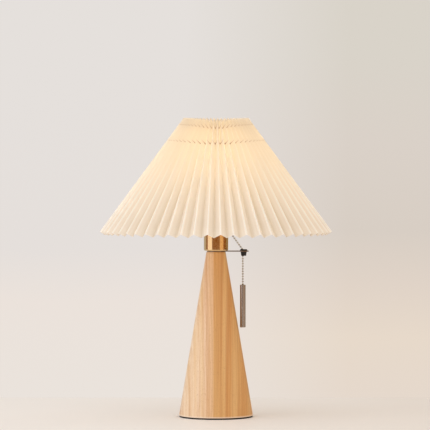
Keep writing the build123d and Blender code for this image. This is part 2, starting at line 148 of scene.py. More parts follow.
# What the camera sees of the room is the wall: paler at the left, warmer and darker low at the right.
# Metal mirrors a warmer, deeper room, and the matt surfaces get one even grey.
world = bpy.data.worlds.new("studio_room")
world.use_nodes = True
bpy.context.scene.world = world
tree = world.node_tree
tree.nodes.clear()
way = add(tree, "SeparateXYZ", {0: add(tree, "TexCoord", out="Generated")}).node.outputs
rays = add(tree, "LightPath").node.outputs
across = add(tree, "MapRange", {"Value": way["X"], "From Min": -0.01, "From Max": 0.045})
upward = add(tree, "MapRange", {"Value": way["Z"], "From Min": -0.09, "From Max": 0.03})
wall_left = graded(tree, upward, ((0.0, "#EAE3DC"), (0.3, "#EBE2DB"), (0.45, "#E5DFDB"),
                                  (1.0, "#E5E0DC")))
wall_right = graded(tree, upward, ((0.0, "#E5D8CC"), (0.2, "#E7D9CA"), (0.35, "#E0D3C7"),
                                   (0.5, "#D8CEC4"), (0.75, "#DAD1C8"), (1.0, "#D9D3C9")))
wall = add(tree, "Mix", {0: across, 6: wall_left, 7: wall_right}, **TINT)
sideways = add(tree, "MapRange", {"Value": way["X"], "From Min": -0.3, "From Max": 0.3})
behind = add(tree, "Mix", {0: sideways, 6: "#CEC8C0", 7: "#A68B66"}, **TINT)
ahead = add(tree, "MapRange", {"Value": way["Y"], "From Min": 0.1, "From Max": 0.4})
mirrored = add(tree, "Mix", {0: ahead, 6: "#9A5A0C", 7: behind}, **TINT)
glossy = add(tree, "Math", {0: rays["Is Glossy Ray"], 1: rays["Is Transmission Ray"]},
             operation="MAXIMUM")
seen = add(tree, "Mix", {0: glossy, 6: "#DCD9D6", 7: mirrored}, **TINT)
shown = add(tree, "Mix", {0: rays["Is Camera Ray"], 6: seen, 7: wall}, **TINT)
strength = add(tree, "MapRange", {"Value": rays["Is Diffuse Ray"], "To Min": 1.0, "To Max": 1.15})
add(tree, "OutputWorld", {"Surface": add(tree, "Background", {"Color": shown, "Strength": strength})})

# A painted table top with a dull sheen and soft shadows. From just outside the lamp's foot, and more the
# further off, the camera sees it mixed with a plain tone, so that it is as even as the wall.
table_finish, tree, shader = new_finish("pale_table_top", Roughness=0.45, Specular_IOR_Level=0.3)
place = add(tree, "TexCoord", out="Object")
mottle = add(tree, "TexNoise", {"Vector": place, "Scale": 3.0, "Detail": 3.0})
painted = add(tree, "Mix", {0: mottle, 6: "#F2ECE6", 7: "#FAF6F2"}, **TINT)
tree.links.new(painted, shader.inputs["Base Color"])
away = add(tree, "VectorMath", {0: place}, out="Value", operation="LENGTH")
far_off = add(tree, "MapRange", {"Value": away, "From Min": 0.30, "From Max": 1.10, "To Min": 0.4})
beside = add(tree, "MapRange", {"Value": away, "From Min": FOOT_EDGE[0], "From Max": FOOT_EDGE[1]})
plainly = add(tree, "Math", {0: far_off, 1: beside}, operation="MULTIPLY")
to_camera = add(tree, "LightPath", out="Is Camera Ray")
plainly = add(tree, "Math", {0: plainly, 1: to_camera}, operation="MULTIPLY")
sideways = add(tree, "MapRange", {"Value": add(tree, "SeparateXYZ", {0: place}),
                                  "From Min": -0.10, "From Max": 0.30})
even = add(tree, "Mix", {0: sideways, 6: "#E9E0D7", 7: "#DFD1C3"}, **TINT)
even_tone = add(tree, "Emission", {"Color": even})
blended = add(tree, "MixShader", {0: plainly, 1: shader.outputs[0], 2: even_tone})
tree.links.new(blended, tree.nodes["Material Output"].inputs["Surface"])

table_mesh = bpy.data.meshes.new("table_top")
table_mesh.from_pydata([(-TABLE_SIDE, -TABLE_SIDE, 0), (TABLE_SIDE, -TABLE_SIDE, 0),
                        (TABLE_SIDE, TABLE_BACK, 0), (-TABLE_SIDE, TABLE_BACK, 0)], [], [(0, 1, 2, 3)])
table_mesh.materials.append(table_finish)
table_top = bpy.data.objects.new("table_top", table_mesh)
bpy.context.scene.collection.objects.link(table_top)


# Foot pad
# A thin disc of black EVA foam with a closed skin, cut with a die and glued under the wood.
# It is set back a little, so that only a dark line shows.

def dress(node, material):
    """The CAD solid keeps its shape and takes this finish."""
    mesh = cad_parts[node].data
    mesh.materials.clear()
    mesh.materials.append(material)


def speckle(tree, scale, detail=2.0, stretch=(1, 1, 1)):
    """Noise on the piece's own coordinates, with about scale * stretch grains to a metre each way."""
    place = add(tree, "Mapping", {"Vector": add(tree, "TexCoord", out="Object"), "Scale": stretch})
    return add(tree, "TexNoise", {"Vector": place, "Scale": scale, "Detail": detail})


def patterned(tree, shader, pattern, colours=None, roughness=None, relief=None):
    """One pattern sets a finish: its colour runs between two hex codes and its roughness between two
    values as the pattern goes from 0 to 1, and it stands up by a relief in millimetres."""
    if colours:
        colour = add(tree, "Mix", {0: pattern, 6: colours[0], 7: colours[1]}, **TINT)
        tree.links.new(colour, shader.inputs["Base Color"])
    if roughness:
        rough = add(tree, "MapRange", {"Value": pattern, "To Min": roughness[0], "To Max": roughness[1]})
        tree.links.new(rough, shader.inputs["Roughness"])
    if relief:
        bump = add(tree, "Bump", {"Height": pattern, "Distance": relief / 1000})
        tree.links.new(bump, shader.inputs["Normal"])


# EVA foam with cells of about 1 mm: a dead, grainy black that mirrors almost nothing.
foam, tree, shader = new_finish("black_eva_foam", Roughness=0.9, Specular_IOR_Level=0.2)
patterned(tree, shader, speckle(tree, 900.0), ("#100B07", "#1D150E"), relief=0.1)
dress("base_pad", foam)


# Iron weight
# A disc of grey cast iron in the recess under the body. It is left as cast, and is pushed up against
# the recess by the bottom nut.

# The sand of the mould leaves grains of 2 to 3 mm: dark grey metal with a broken, dull shine.
cast_iron, tree, shader = new_finish("sand_cast_grey_iron", Metallic=1.0)
patterned(tree, shader, speckle(tree, 420.0, 5.0), ("#3C3B3A", "#5B5957"), (0.55, 0.8), 0.3)
dress("base_weight", cast_iron)


# Wooden body
# Solid light hardwood, glued up from two boards, turned to a cone, sanded and finished with clear satin
# lacquer. The grain stands upright. The lower edge is eased, and a painted highlight and a painted shadow
# line mark it.

BOARD_TURN = (-0.016, -0.0045)
BOARD_JOINT = (-0.0043, -0.0033)
# The eased lower edge gets a painted highlight, and just below it a painted shadow line at the foot.
EDGE_HIGHLIGHT = (0.0030, 0.0050)
FOOT_SHADOW = (0.0022, 0.0026)

# Growth rings lie 4 mm apart and bend slowly, so the front shows straight upright grain and the sides
# long arches. A paler board at the left meets a warmer one on a straight joint.
wood, tree, shader = new_finish("lacquered_rubberwood", Roughness=0.42, Coat_Weight=0.25,
                                Coat_Roughness=0.3)
place = add(tree, "TexCoord", out="Object")
warp = add(tree, "TexNoise", {"Vector": place, "Scale": 5.0, "Detail": 2.0}, out=1)
bend = add(tree, "VectorMath", {0: warp, 1: (0.012, 0.012, 0.0)}, operation="MULTIPLY")
moved = add(tree, "VectorMath", {0: place, 1: bend}, operation="ADD")
pith = add(tree, "Mapping", {"Vector": moved, "Location": (0.30, 0.06, 0.0), "Scale": (1, 1, 0.1)})
rings = add(tree, "TexWave", {"Vector": pith, "Scale": 75.0, "Distortion": 6.0, "Detail": 2.0,
                              "Detail Scale": 0.6},
            wave_type="RINGS", rings_direction="Z", wave_profile="SAW")
outside = add(tree, "Mix", {0: rings, 6: "#F7DEBF", 7: "#ECCCA6"}, **TINT)
heart = add(tree, "Mix", {0: rings, 6: "#DFA865", 7: "#D0934F"}, **TINT)
gently = add(tree, "MapRange", {"Value": add(tree, "SeparateXYZ", {0: moved}),
                                "From Min": BOARD_TURN[0], "From Max": BOARD_TURN[1], "To Max": 0.5})
joint = add(tree, "MapRange", {"Value": add(tree, "SeparateXYZ", {0: place}),
                               "From Min": BOARD_JOINT[0], "From Max": BOARD_JOINT[1], "To Max": 0.5})
turning = add(tree, "Math", {0: gently, 1: joint}, operation="ADD")
grain = add(tree, "Mix", {0: turning, 6: outside, 7: heart}, **TINT)

# Over that lie yellower bands 9 mm wide, brown streaks 6 mm wide, fibres of 1 mm and pores of 0.5 mm,
# which is coarser than the real 0.2 mm so that they show, and then a painted highlight on the eased edge
# and a painted shadow line at the foot. Each has its pattern, where that starts and ends, its share there
# and its colour.
fibres = speckle(tree, 1.0, 4.0, (800, 200, 9))
pores = speckle(tree, 1.0, 2.0, (1900, 1900, 120))
streaks = speckle(tree, 1.0, 3.0, (170, 14, 0.9))
yellower = speckle(tree, 1.0, 2.0, (110, 9, 0.5))
up = add(tree, "SeparateXYZ", {0: place}, out="Z")
for pattern, (start, end), (low, high), colour in (
        (yellower, (0.45, 0.65), (0.0, 0.60), "#E8C081"),
        (streaks, (0.48, 0.70), (0.0, 0.60), "#C58447"),
        (fibres, (0.35, 0.75), (0.0, 0.32), "#D4A066"),
        (pores, (0.60, 0.72), (0.0, 0.55), "#AE7A46"),
        # A painted highlight on the eased edge, then a painted shadow line at the foot.
        (up, EDGE_HIGHLIGHT, (0.7, 0.0), "#F7E3CC"),
        (up, FOOT_SHADOW, (0.95, 0.0), "#2A190D")):
    share = add(tree, "MapRange", {"Value": pattern, "From Min": start, "From Max": end,
                                   "To Min": low, "To Max": high})
    grain = add(tree, "Mix", {0: share, 6: grain, 7: colour}, **TINT)
tree.links.new(grain, shader.inputs["Base Color"])
patterned(tree, shader, fibres, roughness=(0.36, 0.5), relief=0.05)
dress("wood_cone", wood)


# Bush for the mains lead
# A black nylon bush pushed into the hole low in the back of the body. Its thin flange rests on the wood
# outside and keeps a lead from chafing.

# Nylon from a mould eroded to a grit of 0.7 mm, drawn coarser than it is: matt black, without a glint.
nylon, tree, shader = new_finish("moulded_black_nylon", Roughness=0.65)
patterned(tree, shader, speckle(tree, 1500.0), ("#100F0E", "#1C1A19"), relief=0.03)
dress("cord_bush", nylon)


# Rod, nuts and washer
# A hollow rod with a rolled 10 mm thread holds weight, body, arm and cup together between two hexagon
# nuts. All of it is mild steel with a thin zinc plating.

# Zinc shows spangles of about 4 mm: a cool, bluish grey metal, half dull and half bright.
zinc, tree, shader = new_finish("zinc_plated_steel", Metallic=1.0)
patterned(tree, shader, speckle(tree, 260.0, 4.0), ("#A9ADB2", "#C9CBCC"), (0.28, 0.42))
for part in ("bottom_nut", "cup_nut", "bottom_washer"):
    dress(part, zinc)

# The rod's turns lie 1 mm apart, which is a wave of scale 314: paler crests over darker roots, a painted
# highlight and painted shade.
rolled, tree, shader = new_finish("rolled_zinc_thread", Metallic=1.0, Roughness=0.35)
place = add(tree, "TexCoord", out="Object")
thread_turns_and_painted_shade = add(tree, "TexWave", {"Vector": place, "Scale": 314.0}, bands_direction="Z")
patterned(tree, shader, thread_turns_and_painted_shade, ("#8E9296", "#C9CBCC"), relief=0.5)
dress("threaded_rod", rolled)


# Guide arm
# A strip of steel, punched with an eye at each end, brushed along its length and plated dark nickel.
# It is clamped between the body and the cup, and its outer eye holds the black nylon guide.

# Brush lines of 0.4 mm, coarser than real so that they show: a brown grey with long soft highlights.
dark_nickel, tree, shader = new_finish("brushed_dark_nickel", Metallic=1.0)
lines = speckle(tree, 1.0, 3.0, (60, 2600, 2600))
patterned(tree, shader, lines, ("#6A5B4E", "#968676"), (0.25, 0.45), 0.02)
dress("guide_arm", dark_nickel)
dress("chain_guide", nylon)


# Brass cup
# Sheet brass, spun to a straight cup, brushed round and lacquered. Its floor is clamped by the cup nut,
# and the lamp holder stands on its rim. The pull switch sits inside it.

# Fine rings 0.4 mm apart, coarser than real: upright bands of pale gold and brown, sharp at their edges.
brass, tree, shader = new_finish("brushed_lacquered_brass", Metallic=1.0, Coat_Weight=0.3,
                                 Coat_Roughness=0.1)
lines = speckle(tree, 1.0, 3.0, (60, 60, 2600))
patterned(tree, shader, lines, ("#D0AD76", "#E2C898"), (0.08, 0.17), 0.015)
dress("holder_cup", brass)
dress("chain_spout", brass)
dress("switch_body", nylon)
dress("pull_slider", nylon)


# Return spring
# Spring steel wire, wound in open turns between the outlet and the slider. The slider presses it
# together when the chain is pulled.

LEAN = math.radians(36.0)
CHAIN_X = 0.0415
BEND_Z = 0.259
PITCH = 0.00395
UP = np.array([-math.sin(LEAN), 0.0, math.cos(LEAN)])
SPRING_LOW, SPRING_HIGH = 0.0432, 0.0547
SPRING_RADIUS = 0.0033
SPRING_WIRE = 0.0003
SPRING_TURNS = 7


def on_chain(distance):
    """The point at a distance up the leaning chain from its bend: bend + distance * up."""
    return np.array([CHAIN_X, 0.0, BEND_Z]) + np.asarray(distance)[..., None] * UP


def sheet_faces(rows, columns, close=False):
    """Four-cornered faces over a grid of points whose rows run right round. Where it is closed, the last
    row joins the first too."""
    r, c = np.meshgrid(np.arange(rows if close else rows - 1), np.arange(columns), indexing="ij")
    r2, c2 = (r + 1) % rows, (c + 1) % columns
    corners = [r * columns + c, r * columns + c2, r2 * columns + c2, r2 * columns + c]
    return np.stack(corners, -1).reshape(-1, 4)


def new_piece(name, points, faces, body, material, sharp=35.0):
    """A mesh piece that rides on a body. Doubled points are merged and the faces turned outwards."""
    mesh = bpy.data.meshes.new(name)
    mesh.from_pydata(np.reshape(points, (-1, 3)).tolist(), [], np.asarray(faces).tolist())
    work = bmesh.new()
    work.from_mesh(mesh)
    bmesh.ops.remove_doubles(work, verts=work.verts, dist=2e-6)
    bmesh.ops.recalc_face_normals(work, faces=work.faces)
    work.to_mesh(mesh)
    work.free()
    mesh.materials.append(material)
    mesh.polygons.foreach_set("use_smooth", np.ones(len(mesh.polygons), dtype=bool))
    mesh.set_sharp_from_angle(angle=math.radians(sharp))
    piece = bpy.data.objects.new(name, mesh)
    bpy.context.scene.collection.objects.link(piece)
    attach(piece, body)
    return piece


def tube(path, radius, sides):
    """Points of a round tube with closed ends: path + radius * (cos a * side + sin a * other)."""
    path = np.asarray(path)
    along = np.gradient(path, axis=0)
    along /= np.linalg.norm(along, axis=1)[:, None]
    helper = np.array([0.0, 1.0, 0.0]) if abs(along[0, 1]) < 0.9 else np.array([1.0, 0.0, 0.0])
    side = np.cross(along, helper)
    side /= np.linalg.norm(side, axis=1)[:, None]
    other = np.cross(along, side)
    turn = np.linspace(0, 2 * np.pi, sides, endpoint=False)
    ring = np.cos(turn)[None, :, None] * side[:, None] + np.sin(turn)[None, :, None] * other[:, None]
    grid = path[:, None] + radius * ring
    first = np.repeat(path[:1, None], sides, axis=1)
    last = np.repeat(path[-1:, None], sides, axis=1)
    return np.concatenate([first, grid, last]), sheet_faces(len(path) + 2, sides)


# Drawn wire: an even, cool grey steel with a clean line of light along each turn.
spring_wire, tree, shader = new_finish("drawn_spring_steel", Metallic=1.0, Roughness=0.3)
patterned(tree, shader, speckle(tree, 800.0), ("#8A8A8C", "#B4B4B6"))

# Each point of the coil is on_chain(s) + radius * (cos t * side + sin t * y), s and t growing together.
turn = np.linspace(0, 2 * np.pi * SPRING_TURNS, SPRING_TURNS * 20 + 1)
around = np.cos(turn)[:, None] * np.cross(UP, [0, 1, 0]) + np.sin(turn)[:, None] * np.array([0, 1, 0])
coil = on_chain(np.linspace(SPRING_LOW, SPRING_HIGH, turn.size)) + SPRING_RADIUS * around
points, faces = tube(coil, SPRING_WIRE, 6)
spring = new_piece("spring_coil", points, faces, "stand", spring_wire)
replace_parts(spring, "return_spring")
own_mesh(spring)


# Ball chain
# Nickel plated beads of 3 mm, rolled from brass strip round short dumb-bell links. The chain slants from
# the cup to the guide and hangs plumb below it. When it is pulled, the two beads of the bend flatten
# into the guide's mouth, and the slanting ones come down to take their place.

BEAD_RADIUS = 0.00145
LINK_RADIUS = 0.0004
REACH = PITCH - BEAD_RADIUS - 0.0001
SLANT_END = 0.0012
SWING_LINK = 0.001
BALL_ROWS, BALL_SIDES = 11, 16
UPRIGHT = np.array([0.0, 0.0, 1.0])

# Tarnish in patches of 2 mm: each bead is a small bright mirror with a warm grey side.
nickel, tree, shader = new_finish("nickel_plated_brass", Metallic=1.0)
patterned(tree, shader, speckle(tree, 500.0, 3.0), ("#A8A8A6", "#D4D4D0"), (0.18, 0.36))


def beads(centres, direction):
    """Balls at the centres: centre + r * (cos b * ring + sin b * direction), for b from pole to pole."""
    direction = np.asarray(direction, dtype=float)
    side = np.cross(direction, [0.0, 1.0, 0.0])
    other = np.array([0.0, 1.0, 0.0])
    tilt = np.linspace(-math.pi / 2, math.pi / 2, BALL_ROWS)
    turn = np.linspace(0, 2 * math.pi, BALL_SIDES, endpoint=False)
    ring = np.cos(turn)[:, None] * side + np.sin(turn)[:, None] * other
    ball = BEAD_RADIUS * (np.cos(tilt)[:, None, None] * ring + np.sin(tilt)[:, None, None] * direction)
    points = np.asarray(centres)[:, None, None] + ball
    first = np.arange(len(points)) * BALL_ROWS * BALL_SIDES
    faces = first[:, None, None] + sheet_faces(BALL_ROWS, BALL_SIDES)
    return points.reshape(-1, 3), faces.reshape(-1, 4)


def chain_piece(name, centres, direction, body, node, before=0.0, after=0.0):
    """One length of the chain: its beads and the thin link through them, which reaches past both ends."""
    points, faces = beads(centres, direction)
    start = centres[0] - before * np.asarray(direction)
    end = centres[-1] + after * np.asarray(direction)
    link, link_faces = tube(np.linspace(start, end, 3), LINK_RADIUS, 8)
    faces = np.concatenate([faces, link_faces + len(points)])
    points = np.concatenate([points, link.reshape(-1, 3)])
    piece = new_piece(name, points, faces, body, nickel)
    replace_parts(piece, node)
    return piece


def slanting(first, count):
    """Centres of the slanting beads, counted and listed up from the bend."""
    return on_chain((np.arange(count) + first + 0.5) * PITCH)


def hanging(first, count):
    """Centres of the hanging beads, counted down from the bend and listed upwards."""
    steps = np.arange(first + count - 1, first - 1, -1) + 0.5
    return np.stack([np.full(count, CHAIN_X), np.zeros(count), BEND_Z - steps * PITCH], -1)


chain_piece("slant_beads", slanting(2, 8), UP, "pull_rod", "chain_upper", REACH, SLANT_END)
bend = chain_piece("bend_beads", slanting(0, 2), UP, "stand", "chain_bend")
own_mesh(bend)
chain_piece("lead_beads", hanging(0, 2), UPRIGHT, "pull_lead", "chain_lead", REACH)
chain_piece("swing_bead", hanging(2, 1), UPRIGHT, "swing_link", "guide_bead", SWING_LINK, SWING_LINK)
chain_piece("hanging_beads", hanging(3, 12), UPRIGHT, "pendant", "chain_lower", 0.0, REACH)


# Pendant bar
# A turned steel bar that hangs on the chain's last bead as its handle, brushed lengthwise and plated to
# the tone of old bronze.

# Brush lines of 0.5 mm along the bar, coarser than real: upright stripes of warm grey and dark brown.
bronze, tree, shader = new_finish("antique_bronze_plate", Metallic=1.0)
lines = speckle(tree, 1.0, 3.0, (2200, 2200, 40))
patterned(tree, shader, lines, ("#96908A", "#BAB2A8"), (0.16, 0.26), 0.015)
dress("pendant_bar", bronze)


# Lamp holder
# A moulded white PBT shell with a porcelain insert, a rolled brass screw shell and a sprung centre
# contact. The shade's two rings clamp on its thread.

HOLDER_PITCH = 0.0025
HOLDER_THREAD = 0.0008
SCREW_PITCH = 0.003629
SCREW_THREAD = 0.0011
FLUTES = 48
FLUTE_DEPTH = 0.0007
LOWER_RING_Z = 0.3230
UPPER_RING_Z = 0.3305
ROUND = 96


def turned(profile, pitch=1.0):
    """A shape turned about Z: (r cos a, r sin a, z) for each (r, z) of the profile, in metres. A third
    number is the depth of a right-handed thread there: r - depth * c, where c is half of
    1 - cos(2 pi z / pitch - a), stretched so that crests and roots are flat."""
    profile = np.array([tuple(point) + (0.0,) * (3 - len(point)) for point in profile])
    turn = np.linspace(0, 2 * np.pi, ROUND, endpoint=False)
    wave = np.cos(2 * np.pi * profile[:, 1:2] / pitch - turn)
    radius = profile[:, :1] - profile[:, 2:] * np.clip(0.5 - 0.62 * wave, 0, 1)
    height = np.repeat(profile[:, 1:2], ROUND, axis=1)
    return np.stack([radius * np.cos(turn), radius * np.sin(turn), height], -1)


def thread_rows(radius, low, high, depth, pitch, run_out):
    """(r, z, depth) up a threaded wall. The depth grows over the run-out at each end."""
    height = np.linspace(low, high, round(10 * (high - low) / pitch) + 1)
    share = np.clip(np.minimum(height - low, high - height) / run_out, 0, 1)
    return np.stack([np.full(height.shape, radius), height, depth * share], -1)


def threaded_sleeve(name, profile, pitch, node, material):
    """A turned ring of one closed outline that stands for one node."""
    faces = sheet_faces(len(profile), ROUND, close=True)
    piece = new_piece(name, turned(profile, pitch), faces, "stand", material, 40)
    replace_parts(piece, node)


def grip_ring(name, bottom, node):
    """A flat ring with shallow flutes: r - depth * ((1 - cos n a) / 2) squared on its outer points."""
    outline = np.array([(0.0202, 0.0), (0.0262, 0.0), (0.0269, 0.0007), (0.0269, 0.0053),
                        (0.0262, 0.0060), (0.0202, 0.0060), (0.01985, 0.0056), (0.01985, 0.0004)])
    fluted = np.array([0, 0.5, 1, 1, 0.5, 0, 0, 0])[:, None]
    turn = np.linspace(0, 2 * np.pi, FLUTES * 8, endpoint=False)
    radius = outline[:, :1] - FLUTE_DEPTH * fluted * (0.5 - 0.5 * np.cos(FLUTES * turn)) ** 2
    height = np.repeat(outline[:, 1:] + bottom, turn.size, axis=1)
    grid = np.stack([radius * np.cos(turn), radius * np.sin(turn), height], -1)
    faces = sheet_faces(len(outline), turn.size, close=True)
    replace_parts(new_piece(name, grid, faces, "stand", white_moulding), node)


# PBT with the mould's grit of 0.8 mm, drawn coarser than it is: a warm white with a satin shine.
white_moulding, tree, shader = new_finish("moulded_white_pbt", Roughness=0.45)
patterned(tree, shader, speckle(tree, 1200.0), ("#E6E2DA", "#EFECE6"), relief=0.03)

outline = [(0.0190, 0.3130), (0.0194, 0.3133), (0.0194, 0.3168)]
outline += list(thread_rows(0.0196, 0.3172, 0.3452, HOLDER_THREAD, HOLDER_PITCH, run_out=0.0012))
outline += [(0.0193, 0.3456), (0.0189, 0.3460), (0.0145, 0.3460), (0.0141, 0.3456), (0.0141, 0.3134),
            (0.0145, 0.3130)]
threaded_sleeve("threaded_holder", outline, HOLDER_PITCH, "holder_shell", white_moulding)
grip_ring("lower_grip_ring", LOWER_RING_Z, "lower_shade_ring")
grip_ring("upper_grip_ring", UPPER_RING_Z, "upper_shade_ring")

# Fired without a glaze, with a grit of 0.5 mm: chalky off-white, with no shine at all.
porcelain, tree, shader = new_finish("unglazed_porcelain", Roughness=0.7)
patterned(tree, shader, speckle(tree, 1800.0), ("#DEDAD0", "#ECE9E0"), relief=0.05)
dress("socket_insert", porcelain)

# Brass left bare after pressing, with stains of 3 mm from handling: uneven yellow, dull in places.
pressed_brass, tree, shader = new_finish("bare_pressed_brass", Metallic=1.0)
patterned(tree, shader, speckle(tree, 350.0, 4.0), ("#B8924E", "#D8B673"), (0.25, 0.45))
dress("centre_contact", pressed_brass)

outline = [(0.0136, 0.3180), (0.0139, 0.3184)]
outline += list(thread_rows(0.0139, 0.3188, 0.3434, SCREW_THREAD, SCREW_PITCH, run_out=0.0008))
outline += [(0.0139, 0.3438), (0.0137, 0.3440), (0.01345, 0.3438)]
outline += list(thread_rows(0.01345, 0.3188, 0.3434, SCREW_THREAD, SCREW_PITCH, run_out=0.0008))[::-1]
outline += [(0.01345, 0.3184), (0.01345, 0.3180)]
threaded_sleeve("rolled_screw_shell", outline, SCREW_PITCH, "screw_shell", pressed_brass)


# Bulb
# A screw-cap bulb: a rolled aluminium cap with a black foot, a white plastic cooling body, and a frosted
# dome that glows warm white.

DOME_RADIUS = 0.0225
DOME_FOOT_RADIUS = 0.021
DOME_FOOT_Z = 0.3660
DOME_RISE = 0.0310
DOME_GAP = 0.0001
DOME_TOP = 0.398
GLOW = 8.0


def arc(centre, radii, start, end, steps):
    """Points (r, z) on an ellipse's arc: centre + (a cos t, b sin t)."""
    angle = np.radians(np.linspace(start, end, steps))
    return np.stack([centre[0] + radii[0] * np.cos(angle), centre[1] + radii[1] * np.sin(angle)], -1)


# Polycarbonate filled with white, lit from inside: one even warm glow in which no lamp can be made out.
frosted, tree, shader = new_finish("frosted_polycarbonate", Base_Color="#FFF3E0", Roughness=0.4,
                                   Emission_Color="#FFE8C4", Emission_Strength=GLOW)
lead = math.degrees(math.asin(math.sqrt(1 - (DOME_FOOT_RADIUS / DOME_RADIUS) ** 2)))
rise = DOME_RISE / (1 + math.sin(math.radians(lead)))
middle = DOME_FOOT_Z + rise * math.sin(math.radians(lead))
dome = np.concatenate([[(0.0, DOME_FOOT_Z + DOME_GAP)],
                       arc((0, middle), (DOME_RADIUS, rise), -lead, 90, 22)])
dome[:, 1] = np.clip(dome[:, 1], DOME_FOOT_Z + DOME_GAP, DOME_TOP)
faces = sheet_faces(len(dome), ROUND)
globe = new_piece("bulb_dome", turned(dome), faces, "bulb", frosted)
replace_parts(globe, "bulb_globe")

# Plastic from a polished mould: clean white with a clear highlight down its flank.
white_gloss, tree, shader = new_finish("glossy_white_plastic", Roughness=0.25)
patterned(tree, shader, speckle(tree, 40.0), ("#F1EFEA", "#F6F5F1"))
flank = np.concatenate([[(0, 0.3476)], arc((0.01275, 0.3486), (0.001, 0.001), -90, 0, 5),
                        arc((0.0350, 0.3495), (0.02125, 0.0200), 180, 131, 10), [(0.0209, 0.3650)],
                        arc((0.0199, 0.3650), (0.001, 0.001), 0, 90, 5), [(0, 0.3660)]])
faces = sheet_faces(len(flank), ROUND)
housing = new_piece("bulb_body", turned(flank), faces, "bulb", white_gloss)
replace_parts(housing, "bulb_housing")
dress("bulb_contact", nylon)

# Thin aluminium rolled to a thread: a pale metal with a soft line of light on every crest.
rolled_cap, tree, shader = new_finish("rolled_aluminium_cap", Metallic=1.0, Roughness=0.3)
patterned(tree, shader, speckle(tree, 300.0), ("#BFC0C0", "#D6D6D4"))
cap = [(0.0, 0.3270), (0.0108, 0.3270), (0.0118, 0.3277), (0.0119, 0.3284)]
cap += list(thread_rows(0.0131, 0.3284, 0.3448, SCREW_THREAD, SCREW_PITCH, run_out=0.0001))[1:-1]
cap += [(0.0127, 0.3450), (0.0127, 0.3466), (0.0131, 0.3471), (0.0131, 0.3475), (0.0, 0.3475)]
faces = sheet_faces(len(cap), ROUND)
screw_cap = new_piece("threaded_cap", turned(cap, SCREW_PITCH), faces, "bulb", rolled_cap,
                      40)
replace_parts(screw_cap, "bulb_cap")


# Wire frame
# Steel wire, welded and coated white: a fitter ring with three bent arms, a small top ring, a large ring
# near the hem and eight ribs behind the folds.

PLEATS = 56
HEM = (0.180, 0.2878)
TOP = (0.0504, 0.4637)
PANEL = 0.0134
CLOTH = 0.0004
HALF = math.pi / PLEATS
CONE = math.atan2(HEM[0] - TOP[0], TOP[1] - HEM[1])
RIBS = 8
RIB_RADIUS = 0.00125
RIB_DRAWN = 0.00123
RIB_FROM_HEM, RIB_FROM_TOP = 0.013, 0.003
RING_FROM_HEM, RING_FROM_TOP = 0.016, 0.005
WIRE_SIDES = 10
WIRE_RADIUS = 0.0015
OFF_CLOTH = 0.0003
WELD = 0.00005
ARMS = 3
ARM_START = 0.0278
ARM_REACH = 0.041
ARM_BEND = 0.005

# A powder coat over steel: soft, warm white, with rounded highlights.
coated, tree, shader = new_finish("white_powder_coated_wire", Roughness=0.35)
patterned(tree, shader, speckle(tree, 200.0), ("#E2DCD0", "#EDE8DE"))
dress("fitter_ring", coated)


def fold_depth(radius):
    """Depth of folds made of panels of one width: lean + sqrt(lean^2 + w^2 - 2 r^2 bow)."""
    bow = 1 - math.cos(HALF)
    lean = radius * math.cos(CONE) * bow
    return lean + np.sqrt(lean ** 2 + PANEL ** 2 - 2 * radius ** 2 * bow)


def inward(point, distance):
    """A (radius, height) moved square to the cone of the outer folds."""
    return np.array([point[0] - distance * math.cos(CONE), point[1] - distance * math.sin(CONE)])


def fold_back(point):
    """The back of the inner fold below an outer fold's (radius, height)."""
    inner = inward(point, fold_depth(point[0]))
    return inward(inner, CLOTH * PANEL / (inner[0] * math.sin(HALF)))


back_hem, back_top = fold_back(HEM), fold_back(TOP)
rib_line = back_top - back_hem
rib_length = np.linalg.norm(rib_line)
rib_line = rib_line / rib_length
rib_in = np.array([-rib_line[1], rib_line[0]])


def behind_folds(from_hem, distance):
    """(radius, height) at a distance behind the folds' backs, from_hem up them."""
    return back_hem + from_hem * rib_line + distance * rib_in


def swing(points, angle):
    """Points (radius, height) set at an angle round the lamp."""
    radius, height = np.asarray(points)[..., 0], np.asarray(points)[..., 1]
    return np.stack([radius * math.cos(angle), radius * math.sin(angle), height], -1)


def gathered(name, parts, node, material):
    """Several like solids as one piece that stands for one node."""
    points, faces, count = [], [], 0
    for grid, quads in parts:
        points.append(np.reshape(grid, (-1, 3)))
        faces.append(quads + count)
        count += len(points[-1])
    piece = new_piece(name, np.concatenate(points), np.concatenate(faces), "stand", material)
    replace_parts(piece, node)


def hoop(place, radius, columns, sides=WIRE_SIDES):
    """A wire ring: ((R + r cos b) cos a, (R + r cos b) sin a, z + r sin b)."""
    turn = np.linspace(0, 2 * np.pi, columns, endpoint=False)
    round_wire = np.linspace(0, 2 * np.pi, sides, endpoint=False)
    reach = place[0] + radius * np.cos(round_wire)[None, :]
    height = np.repeat(place[1] + radius * np.sin(round_wire)[None, :], columns, axis=0)
    grid = np.stack([reach * np.cos(turn)[:, None], reach * np.sin(turn)[:, None], height], -1)
    return grid, sheet_faces(columns, sides, close=True)


rib_low = behind_folds(RIB_FROM_HEM, OFF_CLOTH + RIB_RADIUS)
rib_high = behind_folds(rib_length - RIB_FROM_TOP, OFF_CLOTH + RIB_RADIUS)
ribs = []
for k in range(RIBS):
    angle = math.radians(360 / RIBS * k - 90)
    ribs.append(tube(np.linspace(swing(rib_low, angle), swing(rib_high, angle), 12), RIB_DRAWN, WIRE_SIDES))
gathered("shade_ribs", ribs, "frame_ribs", coated)

inside_ribs = OFF_CLOTH + 2 * RIB_RADIUS + WELD + WIRE_RADIUS
top_place = behind_folds(rib_length - RING_FROM_TOP, inside_ribs)
hem_place = behind_folds(RING_FROM_HEM, inside_ribs)
gathered("shade_top_ring", [hoop(top_place, WIRE_RADIUS, 120)], "top_ring", coated)
gathered("shade_hem_ring", [hoop(hem_place, WIRE_RADIUS, 224)], "bottom_ring", coated)

